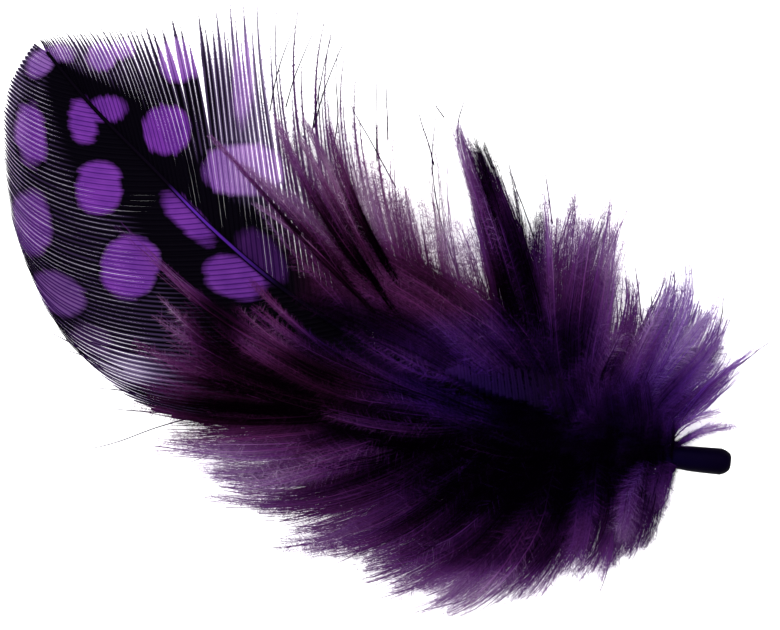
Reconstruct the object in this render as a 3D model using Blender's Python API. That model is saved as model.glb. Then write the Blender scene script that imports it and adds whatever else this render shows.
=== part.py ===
# Guinea fowl feather: a spotted body feather with long downy locks, lying on a flat surface.
# One grown piece: bare quill, tapering shaft, a flat vane combed out at its edge, and downy locks.

import math

import bpy
import bmesh
from mathutils import Matrix, Vector

MM = 0.001

# Places are drawn in millimetres as the feather is seen from above: x to the right, y away,
# measured from the quill's cut end. The drawing is then turned so that the feather lies along X.
FEATHER_TURN = math.radians(31.2)
BOX_CENTRE = Vector((-40.564, -7.174))

# Quill and shaft: stations with the radius there, along the quill from its open end and then
# along the shaft, and the radius that the shaft tapers to at the feather's tip
QUILL_PROFILE = [(0.0, 0.74), (0.45, 1.12), (1.0, 1.32), (4.0, 1.26), (7.0, 1.02), (10.0, 0.84)]
SHAFT_PROFILE = [(28.0, 0.48), (50.0, 0.36)]
SHAFT_TIP_RADIUS = 0.24
QUILL_BORE_RADIUS = 0.5
QUILL_BORE_DEPTH = 3.0
# The shaft's middle lies this far above its own radius, and at least the second value high
SHAFT_CLEAR = 0.06
SHAFT_LEAST_HEIGHT = 0.46
SHAFT_SIDES = 8
SHAFT_STEPS = 18
COURSE_STEPS = 400
SHAFT_COURSE = [
    (0.0, 0.0), (-9.0, 1.2), (-22.1, 5.2), (-33.9, 10.5), (-43.7, 16.6),
    (-51.4, 23.0), (-58.0, 29.7), (-63.8, 35.6), (-68.3, 41.0),
]

# Vane: a thin plate of barbs, held together near the shaft and combed out into points at its edge
VANE_BARBS = 28
VANE_ROWS = 4
VANE_REACH = (0.38, 0.30)
VANE_THICKNESS = 0.42
VANE_RIDGE = 0.22
# Share of the thickness that is gone at the edge
VANE_THINNING = 0.4
# The edge curls up by this much, from this share of a barb's length outwards
VANE_EDGE_LIFT = 0.35
VANE_LIFT_START = 0.55
# Share of a barb that the plate holds on its lower and its upper side, and each point's middle width
VANE_HOLD = {-1: 0.90, 1: 0.80}
POINT_NARROWING = 0.42
# Along the shaft: station, lower edge x and y, leaving and arriving angle there,
# then upper edge x and y, leaving and arriving angle
VANE_COURSE = [
    (8.0, -9.5, -2.5, 235, 235, -8.2, 6.0, 80, 85),
    (20.0, -29.0, -1.5, 212, 200, -20.5, 13.5, 92, 97),
    (27.0, -47.5, 2.4, 200, 186, -28.0, 20.0, 96, 102),
    (33.0, -61.4, 7.0, 194, 166, -37.0, 31.0, 96, 104),
    (40.0, -67.6, 13.6, 190, 142, -41.5, 39.5, 96, 100),
    (48.0, -71.0, 20.8, 189, 126, -47.8, 45.9, 96, 94),
    (55.0, -72.0, 25.6, 188, 122, -52.5, 45.4, 97, 97),
    (60.0, -72.6, 29.6, 186, 118, -58.6, 43.9, 99, 108),
    (66.0, -72.7, 33.8, 180, 122, -62.6, 43.4, 103, 122),
    (72.0, -72.3, 37.3, 174, 132, -65.8, 43.1, 110, 130),
    (77.0, -71.2, 39.6, 166, 138, -68.0, 42.6, 118, 134),
    (81.6, -69.6, 41.8, 152, 142, -69.0, 42.2, 130, 138),
]

# Downy locks: each leaves the shaft, widens and thins to a point
LOCK_WIDTHS = [0.28, 0.72, 0.96, 1.0, 0.86, 0.52]
LOCK_REACH = (0.42, 0.34)
LOCK_FLATNESS = 0.22
LOCK_LEAST_THICKNESS = 0.34
# Share of its thickness that is below a lock's edges
LOCK_BELOW = 0.45

# Each group of locks: leaving angles and arriving angles of its first and last lock, the height
# that the locks arch up by, the height of their tips, and the locks as station on the shaft,
# tip x, tip y and width
UPPER_LOCKS = {
    "leaving": (70, 104),
    "arriving": (20, 112),
    "arch": (1.2, 3.2),
    "tips": (0.6, 2.6),
    "locks": [
        (6.6, 0.7, 3.4, 2.4), (7.0, -0.8, 5.8, 2.6), (7.6, 4.6, 12.2, 2.6),
        (8.2, -0.2, 12.6, 4.6), (9.0, -1.2, 16.4, 5.0), (10.0, -5.1, 20.1, 4.6),
        (10.6, -3.6, 17.9, 4.4), (11.4, -8.0, 16.2, 4.6), (12.2, -9.3, 20.0, 1.6),
        (12.8, -10.6, 16.8, 5.2), (13.8, -12.2, 20.0, 5.4), (14.8, -11.6, 26.4, 5.6),
        (15.6, -13.6, 27.0, 6.0), (16.4, -15.8, 27.4, 6.0), (17.0, -18.5, 29.2, 2.0),
        (17.8, -18.8, 26.8, 6.0), (18.4, -22.0, 29.9, 2.2), (19.2, -24.5, 31.4, 5.6),
        (20.2, -27.3, 33.4, 5.8), (21.2, -26.4, 37.2, 2.0), (23.0, -29.2, 36.4, 3.6),
        (25.0, -31.2, 34.7, 4.6), (27.2, -33.0, 31.2, 6.4), (29.4, -34.4, 38.2, 2.2),
        (31.0, -36.2, 33.2, 6.0), (33.4, -39.0, 39.2, 4.4), (35.4, -37.7, 43.4, 1.4),
        (37.0, -39.3, 43.8, 1.6), (38.4, -41.3, 44.6, 1.4), (40.0, -43.3, 44.6, 1.6),
    ],
}
LOWER_LOCKS = {
    "leaving": (278, 196),
    "arriving": (284, 184),
    "arch": (0.8, 2.2),
    "tips": (0.5, 1.8),
    "locks": [
        (7.2, -6.2, -5.4, 3.6), (8.4, -7.8, -8.2, 5.0), (9.6, -8.9, -10.6, 5.4),
        (11.0, -10.6, -11.2, 5.8), (12.2, -13.2, -13.6, 2.2), (13.4, -14.0, -10.9, 6.4),
        (14.6, -17.2, -11.2, 6.6), (15.6, -20.2, -11.4, 6.6), (16.6, -23.4, -13.8, 6.0),
        (17.4, -26.0, -14.0, 5.4), (18.2, -31.4, -15.0, 3.0), (18.8, -29.4, -16.3, 4.6),
        (19.8, -29.4, -13.0, 6.4), (20.8, -33.2, -12.4, 6.6), (21.8, -36.8, -11.6, 6.6),
        (22.8, -41.0, -10.8, 6.4), (23.6, -42.7, -8.7, 2.8), (24.6, -43.6, -8.0, 6.6),
        (25.6, -47.0, -6.0, 6.8), (26.6, -50.4, -4.4, 6.8), (27.8, -53.6, -2.4, 6.8),
        (29.0, -56.0, -0.2, 6.0), (30.2, -57.2, 1.4, 5.4), (31.4, -65.2, 1.5, 1.2),
        (32.2, -59.6, 3.4, 5.0), (33.2, -62.0, 5.3, 1.4),
    ],
}
FORWARD_UPPER_LOCKS = {
    "leaving": (118, 112),
    "arriving": (126, 118),
    "arch": (3.0, 4.6),
    "tips": (1.6, 3.0),
    "locks": [
        (25.0, -52.4, 34.2, 3.0), (26.0, -48.6, 33.4, 2.4), (23.6, -46.6, 32.0, 2.8),
        (24.4, -44.6, 34.0, 3.0), (21.6, -43.0, 35.6, 2.4), (22.6, -42.0, 31.6, 3.4),
    ],
}
FORWARD_LOWER_LOCKS = {
    "leaving": (176, 190),
    "arriving": (138, 160),
    "arch": (2.6, 4.2),
    "tips": (1.4, 2.6),
    "locks": [
        (27.0, -61.0, 23.6, 1.8), (29.0, -57.4, 22.2, 2.4), (25.0, -54.6, 17.0, 4.4),
        (23.4, -53.0, 15.6, 4.6), (27.8, -60.4, 18.2, 2.0), (24.6, -58.0, 12.0, 4.6),
    ],
}
# Share by which neighbouring locks step through their group's range of heights
HEIGHT_STEP = 0.618

# Faces that meet at more than this angle keep a visible edge
SHARP_ANGLE = math.radians(40)


def turned(x, y, z):
    """Give a drawn point's place in the part, still in millimetres."""
    spun = Matrix.Rotation(FEATHER_TURN, 2) @ Vector((x, y)) - BOX_CENTRE
    return Vector((spun.x, spun.y, z))


def heading(degrees):
    angle = math.radians(degrees)
    return Vector((math.cos(angle), math.sin(angle)))


def mixed(low, high, share):
    return low + (high - low) * share


def smooth_value(values, place):
    """Read a smooth curve through evenly numbered values at a place between two of them."""
    last = len(values) - 1
    i = min(int(place), last - 1)
    t = place - i
    before, start, end, after = (values[min(max(k, 0), last)] for k in (i - 1, i, i + 1, i + 2))
    return 0.5 * (
        2 * start
        + (end - before) * t
        + (2 * before - 5 * start + 4 * end - after) * t**2
        + (3 * start - before - 3 * end + after) * t**3
    )


def measured_course(points):
    """Give the course as many points with the length run so far."""
    ends = [Vector(p) for p in points]
    course = []
    run = 0.0
    for k in range(COURSE_STEPS + 1):
        point = smooth_value(ends, (len(ends) - 1) * k / COURSE_STEPS)
        run += (point - course[-1][1]).length if course else 0.0
        course.append((run, point))
    return course


SHAFT = measured_course(SHAFT_COURSE)
SHAFT_LENGTH = SHAFT[-1][0]


def shaft_point(station):
    for (low, start), (high, end) in zip(SHAFT, SHAFT[1:]):
        if station <= high:
            return start.lerp(end, (station - low) / (high - low))
    return SHAFT[-1][1]


def shaft_radius(station):
    profile = QUILL_PROFILE + SHAFT_PROFILE + [(SHAFT_LENGTH, SHAFT_TIP_RADIUS)]
    for (low, start), (high, end) in zip(profile, profile[1:]):
        if station <= high:
            return mixed(start, end, (station - low) / (high - low))
    return SHAFT_TIP_RADIUS


def shaft_height(station):
    return max(shaft_radius(station) + SHAFT_CLEAR, SHAFT_LEAST_HEIGHT)


def arc_between(root, leaving, tip, arriving, reach):
    """Give the plan curve that leaves one point and arrives at another in set directions."""
    span = (tip - root).length
    first = root + heading(leaving) * span * reach[0]
    second = tip - heading(arriving) * span * reach[1]

    def at(t):
        u = 1 - t
        return root * u**3 + first * 3 * u * u * t + second * 3 * u * t * t + tip * t**3

    return at


def bridged(mesh, ring, following):
    count = len(ring)
    for k in range(count):
        mesh.faces.new((ring[k], ring[(k + 1) % count], following[(k + 1) % count], following[k]))


def finished_object(name, mesh_in_work):
    """Make an object of the mesh in work, with its faces pointing out."""
    bmesh.ops.recalc_face_normals(mesh_in_work, faces=mesh_in_work.faces)
    mesh = bpy.data.meshes.new(name)
    mesh_in_work.to_mesh(mesh)
    mesh_in_work.free()
    thing = bpy.data.objects.new(name, mesh)
    bpy.context.scene.collection.objects.link(thing)
    return thing


def ring_across(mesh, centre, height, across, radius):
    """Add a ring of points round a level course at one place on it."""
    ring = []
    for k in range(SHAFT_SIDES):
        angle = 2 * math.pi * (k + 0.5) / SHAFT_SIDES
        side = centre + across * radius * math.cos(angle)
        ring.append(mesh.verts.new(turned(side.x, side.y, height + radius * math.sin(angle))))
    return ring


def make_shaft():
    """The quill with its open cut end, and the shaft that tapers to the feather's tip."""
    mesh = bmesh.new()
    stops = [(QUILL_BORE_DEPTH, QUILL_BORE_RADIUS), (0.0, QUILL_BORE_RADIUS)] + QUILL_PROFILE
    quill_end = QUILL_PROFILE[-1][0]
    for k in range(1, SHAFT_STEPS + 1):
        station = mixed(quill_end, SHAFT_LENGTH, k / SHAFT_STEPS)
        stops.append((station, shaft_radius(station)))
    middle_height = shaft_height(QUILL_BORE_DEPTH)
    rings = []
    for station, radius in stops:
        ahead = shaft_point(min(station + 0.5, SHAFT_LENGTH)) - shaft_point(max(station - 0.5, 0.0))
        across = Vector((-ahead.y, ahead.x)).normalized()
        height = middle_height if station <= QUILL_BORE_DEPTH else shaft_height(station)
        rings.append(ring_across(mesh, shaft_point(station), height, across, radius))
    for ring, following in zip(rings, rings[1:]):
        bridged(mesh, ring, following)
    mesh.faces.new(rings[0])
    mesh.faces.new(rings[-1])
    return finished_object("shaft", mesh)


def vane_edges(station):
    """Give the plan curves of the lower and upper barb that leave the shaft at a station."""
    stations = [row[0] for row in VANE_COURSE]
    k = max(i for i, s in enumerate(stations[:-1]) if s <= station or i == 0)
    place = k + (station - stations[k]) / (stations[k + 1] - stations[k])
    row = [smooth_value([r[c] for r in VANE_COURSE], place) for c in range(1, 9)]
    root = shaft_point(station)
    lower = arc_between(root, row[2], Vector(row[0:2]), row[3], VANE_REACH)
    upper = arc_between(root, row[6], Vector(row[4:6]), row[7], VANE_REACH)
    return lower, upper


def vane_lift(t):
    """How far the plate's edge curls up from the surface it lies on."""
    return VANE_EDGE_LIFT * max(0.0, t - VANE_LIFT_START) / (1 - VANE_LIFT_START)


def make_vane():
    """The plate of barbs on both sides of the shaft, ridged along each barb and pointed at its edge."""
    mesh = bmesh.new()
    first, last = VANE_COURSE[0][0], VANE_COURSE[-1][0]
    columns = []
    for c in range(2 * VANE_BARBS + 1):
        share = c / (2 * VANE_BARBS)
        columns.append(vane_edges(mixed(first, last, share)))

    def edge_at(c, t):
        return columns[c][0](-t) if t < 0 else columns[c][1](t)

    def add_pair(place, t, ridge):
        low = vane_lift(abs(t))
        top = low + VANE_THICKNESS * (1 - VANE_THINNING * abs(t)) + ridge
        return (
            mesh.verts.new(turned(place.x, place.y, low)),
            mesh.verts.new(turned(place.x, place.y, top)),
        )

    rows = [-VANE_HOLD[-1] * k / VANE_ROWS for k in range(VANE_ROWS, 0, -1)]
    rows += [VANE_HOLD[1] * k / VANE_ROWS for k in range(VANE_ROWS + 1)]
    grid = []
    for c in range(2 * VANE_BARBS + 1):
        ridge = VANE_RIDGE if c % 2 else 0.0
        grid.append([add_pair(edge_at(c, t), t, ridge) for t in rows])
    for near, far in zip(grid, grid[1:]):
        for k in range(len(rows) - 1):
            for level in (0, 1):
                mesh.faces.new(
                    (near[k][level], near[k + 1][level], far[k + 1][level], far[k][level])
                )
    for side in (grid[0], grid[-1]):
        for k in range(len(rows) - 1):
            mesh.faces.new((side[k][0], side[k + 1][0], side[k + 1][1], side[k][1]))

    for c in range(1, 2 * VANE_BARBS, 2):
        for end, sign in ((0, -1), (len(rows) - 1, 1)):
            add_point(mesh, [grid[c + step][end] for step in (-1, 0, 1)], c, sign, edge_at, add_pair)
    return finished_object("vane", mesh)


def add_point(mesh, base, c, sign, edge_at, add_pair):
    """Close one barb's outer end with a narrowing section and a point."""
    t = sign * (VANE_HOLD[sign] + 1) / 2
    centre = edge_at(c, t)
    middle = []
    for step, ridge in ((-1, 0.0), (0, VANE_RIDGE), (1, 0.0)):
        place = centre.lerp(edge_at(c + step, t), POINT_NARROWING)
        middle.append(add_pair(place, t, ridge))
    for (low, top), (next_low, next_top), (outer, outer_top), (beyond, beyond_top) in (
        (base[0], base[1], middle[0], middle[1]),
        (base[1], base[2], middle[1], middle[2]),
    ):
        mesh.faces.new((low, next_low, beyond, outer))
        mesh.faces.new((top, next_top, beyond_top, outer_top))
    for near, far in ((base[0], middle[0]), (base[2], middle[2])):
        mesh.faces.new((near[0], near[1], far[1], far[0]))
    tip_place = edge_at(c, sign)
    height = vane_lift(1.0) + 0.5 * VANE_THICKNESS
    tip = mesh.verts.new(turned(tip_place.x, tip_place.y, height))
    for level in (0, 1):
        mesh.faces.new((middle[0][level], middle[1][level], tip))
        mesh.faces.new((middle[1][level], middle[2][level], tip))
    mesh.faces.new((middle[0][0], middle[0][1], tip))
    mesh.faces.new((middle[2][0], middle[2][1], tip))


def make_lock(name, station, tip, width, leaving, arriving, arch, tip_height):
    """One downy lock, four-sided and flattened, from inside the shaft to its point."""
    mesh = bmesh.new()
    plan = arc_between(shaft_point(station), leaving, tip, arriving, LOCK_REACH)
    root_height = shaft_height(station)
    count = len(LOCK_WIDTHS)

    def height(t):
        return mixed(root_height, tip_height, t) + arch * 4 * t * (1 - t)

    rings = []
    for k, share in enumerate(LOCK_WIDTHS):
        t = k / count
        ahead = plan(t + 0.02) - plan(max(t - 0.02, 0.0))
        across = Vector((-ahead.y, ahead.x)).normalized()
        half = 0.5 * width * share
        thick = max(2 * half * LOCK_FLATNESS, LOCK_LEAST_THICKNESS)
        centre = plan(t)
        section = (
            (centre - across * half, 0.0),
            (centre, -LOCK_BELOW * thick),
            (centre + across * half, 0.0),
            (centre, (1 - LOCK_BELOW) * thick),
        )
        rings.append([mesh.verts.new(turned(p.x, p.y, height(t) + z)) for p, z in section])
    for ring, following in zip(rings, rings[1:]):
        bridged(mesh, ring, following)
    mesh.faces.new(rings[0])
    point = mesh.verts.new(turned(tip.x, tip.y, tip_height))
    for k in range(4):
        mesh.faces.new((rings[-1][k], rings[-1][(k + 1) % 4], point))
    return finished_object(name, mesh)


def make_locks(name, group):
    locks = group["locks"]
    made = []
    for k, (station, x, y, width) in enumerate(locks):
        share = k / (len(locks) - 1)
        level = (k * HEIGHT_STEP) % 1.0
        made.append(make_lock(
            f"{name}_{k}",
            station,
            Vector((x, y)),
            width,
            mixed(*group["leaving"], share),
            mixed(*group["arriving"], share),
            mixed(*group["arch"], level),
            mixed(*group["tips"], level),
        ))
    return made


def grown_together(base, pieces):
    """Join the pieces to the base as one body, and take the loose pieces away."""
    for piece in pieces:
        union = base.modifiers.new("union", "BOOLEAN")
        union.operation = "UNION"
        union.solver = "MANIFOLD"
        union.object = piece
        settled = base.evaluated_get(bpy.context.evaluated_depsgraph_get())
        mesh = bpy.data.meshes.new_from_object(settled)
        base.modifiers.clear()
        base.data = mesh
        bpy.data.objects.remove(piece)
    return base


def touching_groups(mesh):
    """Sort the points of a mesh into groups that its edges join."""
    groups = []
    waiting = set(mesh.verts)
    while waiting:
        group = set()
        edge_of_group = [waiting.pop()]
        while edge_of_group:
            vert = edge_of_group.pop()
            group.add(vert)
            beyond = {edge.other_vert(vert) for edge in vert.link_edges} & waiting
            waiting -= beyond
            edge_of_group.extend(beyond)
        groups.append(group)
    return groups


def fill_sealed_pockets(thing):
    """Keep the outer skin alone, so that pockets closed in between crossing locks are solid."""
    mesh = bmesh.new()
    mesh.from_mesh(thing.data)
    groups = sorted(touching_groups(mesh), key=len)
    for group in groups[:-1]:
        bmesh.ops.delete(mesh, geom=list(group), context="VERTS")
    mesh.to_mesh(thing.data)
    mesh.free()


def feather_material():
    """Dyed feather: deep violet, slightly silky."""
    material = bpy.data.materials.new("dyed_feather")
    material.use_nodes = True
    shader = material.node_tree.nodes["Principled BSDF"]
    shader.inputs["Base Color"].default_value = (0.075, 0.02, 0.12, 1.0)
    shader.inputs["Roughness"].default_value = 0.55
    shader.inputs["Metallic"].default_value = 0.0
    return material


def build():
    for thing in list(bpy.data.objects):
        bpy.data.objects.remove(thing)
    feather = make_vane()
    pieces = [make_shaft()]
    for name, group in (
        ("upper_lock", UPPER_LOCKS),
        ("lower_lock", LOWER_LOCKS),
        ("forward_upper_lock", FORWARD_UPPER_LOCKS),
        ("forward_lower_lock", FORWARD_LOWER_LOCKS),
    ):
        pieces += make_locks(name, group)
    grown_together(feather, pieces)
    fill_sealed_pockets(feather)
    feather.data.transform(Matrix.Scale(MM, 4))
    feather.name = "feather"
    feather.data.name = "feather"
    feather.data.materials.clear()
    feather.data.materials.append(feather_material())
    feather.data.shade_smooth()
    feather.data.set_sharp_from_angle(angle=SHARP_ANGLE)


build()
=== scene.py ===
# Guinea fowl feather, dyed violet: quill and shaft, spotted vane, long down, on a pale floor.
import math
import bpy
import numpy as np
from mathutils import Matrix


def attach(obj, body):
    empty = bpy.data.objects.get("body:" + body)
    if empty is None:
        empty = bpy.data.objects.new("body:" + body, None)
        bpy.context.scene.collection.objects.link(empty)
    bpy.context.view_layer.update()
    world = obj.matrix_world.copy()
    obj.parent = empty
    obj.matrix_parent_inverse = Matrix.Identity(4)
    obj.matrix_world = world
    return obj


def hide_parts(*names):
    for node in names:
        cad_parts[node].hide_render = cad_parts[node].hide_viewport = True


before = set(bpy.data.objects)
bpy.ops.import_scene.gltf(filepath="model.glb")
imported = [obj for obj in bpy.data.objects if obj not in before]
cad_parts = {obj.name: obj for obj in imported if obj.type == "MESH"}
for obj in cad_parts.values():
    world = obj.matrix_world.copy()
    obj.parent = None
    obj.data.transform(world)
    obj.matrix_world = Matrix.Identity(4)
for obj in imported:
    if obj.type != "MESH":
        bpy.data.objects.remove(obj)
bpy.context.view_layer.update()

mm = 0.001
fullTurn = 6.28                  # in radians, near enough for random phases

# Room and camera
studio = {
    "floorSize": 1.2,
    "floorColour": (0.92, 0.92, 0.92),
    "floorShade": (0.90, 0.90, 0.90),
    "floorGlow": 0.80,           # the paper is lit a little from below, which softens the shadow
    "skyStrength": 1.20,
    "lampPower": 3.2,
    "brightness": 1.45,          # how far the room lifts a finish on the picture
    "lampSize": 0.5,
    "lampPlace": (-0.10, 0.14, 0.50),
    "cameraHeight": 0.60,
}

# The feather is drawn in millimetres as it is seen from above, x to the right and y away,
# from the quill's cut end, and then turned so that it lies along X.
drawing = {
    "turn": math.radians(31.2),
    "boxCentre": np.array([-40.564, -7.174]),
    "photoCentre": (-34.0, 14.7),    # the middle of the picture, in the same millimetres
    "photoWidth": 78.0,
}


def laidDown(points):
    # drawn millimetres, any number of x, y, z rows, to metres in the part's own frame
    points = np.asarray(points, float)
    c, s = math.cos(drawing["turn"]), math.sin(drawing["turn"])
    out = np.empty_like(points)
    out[..., 0] = c * points[..., 0] - s * points[..., 1] - drawing["boxCentre"][0]
    out[..., 1] = s * points[..., 0] + c * points[..., 1] - drawing["boxCentre"][1]
    out[..., 2] = points[..., 2]
    return out * mm


def headings(degrees):
    a = np.radians(np.asarray(degrees, float))
    return np.stack([np.cos(a), np.sin(a)], -1)


def unit(v):
    return v / np.maximum(np.linalg.norm(v, axis=-1, keepdims=True), 1e-9)


def leftOf(v):
    return np.stack([-v[..., 1], v[..., 0]], -1)


def readAt(rows, owner, at):
    # what lies along a barb, at a place between two of its steps
    i = np.minimum(at.astype(int), rows.shape[1] - 2)
    f = (at - i)[..., None] if rows.ndim == 3 else at - i
    return rows[owner, i] * (1 - f) + rows[owner, i + 1] * f


def smoothRows(rows, places):
    # a smooth curve through evenly numbered rows, read at places between them
    rows = np.asarray(rows, float)
    last = len(rows) - 1
    i = np.clip(np.floor(places).astype(int), 0, last - 1)
    t = (np.asarray(places, float) - i)[..., None]
    before, start, end, after = (rows[np.clip(i + k, 0, last)] for k in (-1, 0, 1, 2))
    return 0.5 * (2 * start + (end - before) * t
                  + (2 * before - 5 * start + 4 * end - after) * t**2
                  + (3 * start - before - 3 * end + after) * t**3)


def arcs(root, leaving, tip, arriving, reach, t):
    # plan curves that leave their roots and arrive at their tips in set directions
    span = np.linalg.norm(tip - root, axis=-1, keepdims=True)
    first = root + headings(leaving) * span * reach[0]
    second = tip - headings(arriving) * span * reach[1]
    t = np.asarray(t, float)[..., None]
    u = 1 - t
    shape = (slice(None),) + (None,) * (t.ndim - 2) + (slice(None),)
    root, first, second, tip = (p[shape] if p.ndim > 1 else p for p in (root, first, second, tip))
    return root * u**3 + first * 3 * u * u * t + second * 3 * u * t * t + tip * t**3


# Mesh making: each piece gathers strips and needles, and is turned into one mesh at the end
class Gathered:
    def __init__(self, marks):
        self.points, self.tris, self.maps, self.count = [], [], [], 0
        self.marks = {name: [] for name in marks}

    def add(self, points, tris, mapped, **marks):
        points = points.reshape(-1, 3)
        self.points.append(points)
        self.tris.append(tris.reshape(-1, 3) + self.count)
        self.maps.append(mapped.reshape(-1, 2))
        for name, rows in self.marks.items():
            rows.append(np.broadcast_to(marks[name], (len(points),)) if np.ndim(marks[name]) < 1
                        else marks[name].reshape(-1))
        self.count += len(points)

    def made(self, name, material, smooth=False):
        points = laidDown(np.concatenate(self.points))
        tris = np.concatenate(self.tris).astype(np.int32)
        mesh = bpy.data.meshes.new(name)
        mesh.vertices.add(len(points))
        mesh.vertices.foreach_set("co", points.astype(np.float32).ravel())
        mesh.loops.add(tris.size)
        mesh.loops.foreach_set("vertex_index", tris.ravel())
        mesh.polygons.add(len(tris))
        mesh.polygons.foreach_set("loop_start", np.arange(0, tris.size, 3, dtype=np.int32))
        mesh.polygons.foreach_set("use_smooth", np.full(len(tris), smooth))
        for mark, rows in self.marks.items():
            layer = mesh.attributes.new(mark, "FLOAT", "POINT")
            layer.data.foreach_set("value", np.concatenate(rows).astype(np.float32))
        uv = np.clip(np.concatenate(self.maps), 0.001, 0.999)[tris.ravel()]
        mesh.uv_layers.new(name="OFBake").data.foreach_set("uv", uv.astype(np.float32).ravel())
        mesh.update(calc_edges=True)
        mesh.validate()
        mesh.materials.append(material)
        thing = bpy.data.objects.new(name, mesh)
        bpy.context.scene.collection.objects.link(thing)
        print(f"{name}: {len(tris)} triangles")
        return thing


def stripTris(strips, steps, wide):
    # triangles of many strips, each with steps rows of wide points
    a = (np.arange(strips)[:, None, None] * steps + np.arange(steps - 1)[None, :, None]) * wide \
        + np.arange(wide - 1)[None, None, :]
    b = a + wide
    return np.stack([np.stack([a, b, b + 1], -1), np.stack([a, b + 1, a + 1], -1)], -2)


# Shaft: the same course and profile as in the solid model
shaft = {
    "course": [(0.0, 0.0), (-9.0, 1.2), (-22.1, 5.2), (-33.9, 10.5), (-43.7, 16.6),
               (-51.4, 23.0), (-58.0, 29.7), (-63.8, 35.6), (-68.3, 41.0)],
    "stations": [0.0, 0.45, 1.0, 4.0, 7.0, 10.0, 28.0, 50.0],
    "radii": [0.74, 1.12, 1.32, 1.26, 1.02, 0.80, 0.40, 0.28],
    "tipRadius": 0.16,
    "clear": 0.06,
    "leastHeight": 0.46,
    "boreRadius": 0.5,
    "boreDepth": 3.0,
    "furrows": 0.012,
    "groove": 0.22,              # depth along the top, as a share of the radius
    "sides": 28,
    "rings": 230,
}
coursePoints = smoothRows(shaft["course"], np.linspace(0, len(shaft["course"]) - 1, 1200))
courseRun = np.concatenate([[0], np.cumsum(np.linalg.norm(np.diff(coursePoints, axis=0), axis=1))])
shaftLength = courseRun[-1]


def onShaft(station):
    return np.stack([np.interp(station, courseRun, coursePoints[:, k]) for k in (0, 1)], -1)


def shaftRadius(station):
    return np.interp(station, shaft["stations"] + [shaftLength], shaft["radii"] + [shaft["tipRadius"]])


def shaftHeight(station):
    inside = shaftRadius(np.maximum(station, shaft["boreDepth"])) + shaft["clear"]
    return np.maximum(inside, shaft["leastHeight"])


def makeShaft(material):
    # quill with an open, rounded end, faint lengthwise furrows, and a groove along its top
    rng = np.random.default_rng(3)
    stations = np.concatenate([[shaft["boreDepth"], 1.0, 0.25], [0.0, 0.12, 0.3, 0.5, 0.75],
                               np.linspace(1.0, shaftLength, shaft["rings"])])
    radii = shaftRadius(stations)
    radii[:3] = shaft["boreRadius"] * np.array([0.9, 1.0, 1.0])
    radii[3] = shaft["boreRadius"] * 1.15
    centre = onShaft(stations)
    beyond, before = np.minimum(stations + 0.3, shaftLength), np.maximum(stations - 0.3, 0)
    ahead = unit(onShaft(beyond) - onShaft(before))
    across = leftOf(ahead)
    around = 2 * np.pi * np.arange(shaft["sides"]) / shaft["sides"]
    furrow = 1 + shaft["furrows"] * rng.standard_normal(shaft["sides"])
    begun = np.clip((stations - 9) / 8, 0, 1)[:, None]
    groove = 1 - shaft["groove"] * np.exp(-((around - np.pi / 2) / 0.35) ** 2) * begun
    r = radii[:, None] * furrow * np.where(np.arange(len(stations))[:, None] < 4, 1, groove)
    points = np.empty((len(stations), shaft["sides"], 3))
    points[..., :2] = centre[:, None] + across[:, None] * (r * np.cos(around))[..., None]
    points[..., 2] = shaftHeight(stations)[:, None] + r * np.sin(around)
    n, m = points.shape[:2]
    i, j = np.meshgrid(np.arange(n - 1), np.arange(m), indexing="ij")
    a, b = i * m + j, i * m + (j + 1) % m
    tris = np.concatenate([np.stack([a, b, b + m], -1).reshape(-1, 3),
                           np.stack([a, b + m, a + m], -1).reshape(-1, 3)])
    caps = [np.stack([np.full(m - 2, 0), np.arange(2, m), np.arange(1, m - 1)], -1),
            np.stack([np.full(m - 2, 0), np.arange(1, m - 1), np.arange(2, m)], -1) + (n - 1) * m]
    tris = np.concatenate([tris, *caps])
    along = np.broadcast_to((stations / shaftLength)[:, None], (n, m))
    mapped = np.stack([along, np.broadcast_to(np.arange(m) / m, (n, m))], -1)
    # crown, how far each point faces up, lets the finish paint shade on the shaft's sides
    piece = Gathered(["along", "crown"])
    piece.add(points, tris, mapped, along=along.copy(), crown=np.sin(around) + 0 * along)
    return piece.made("quillAndShaft", material, smooth=True)


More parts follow.
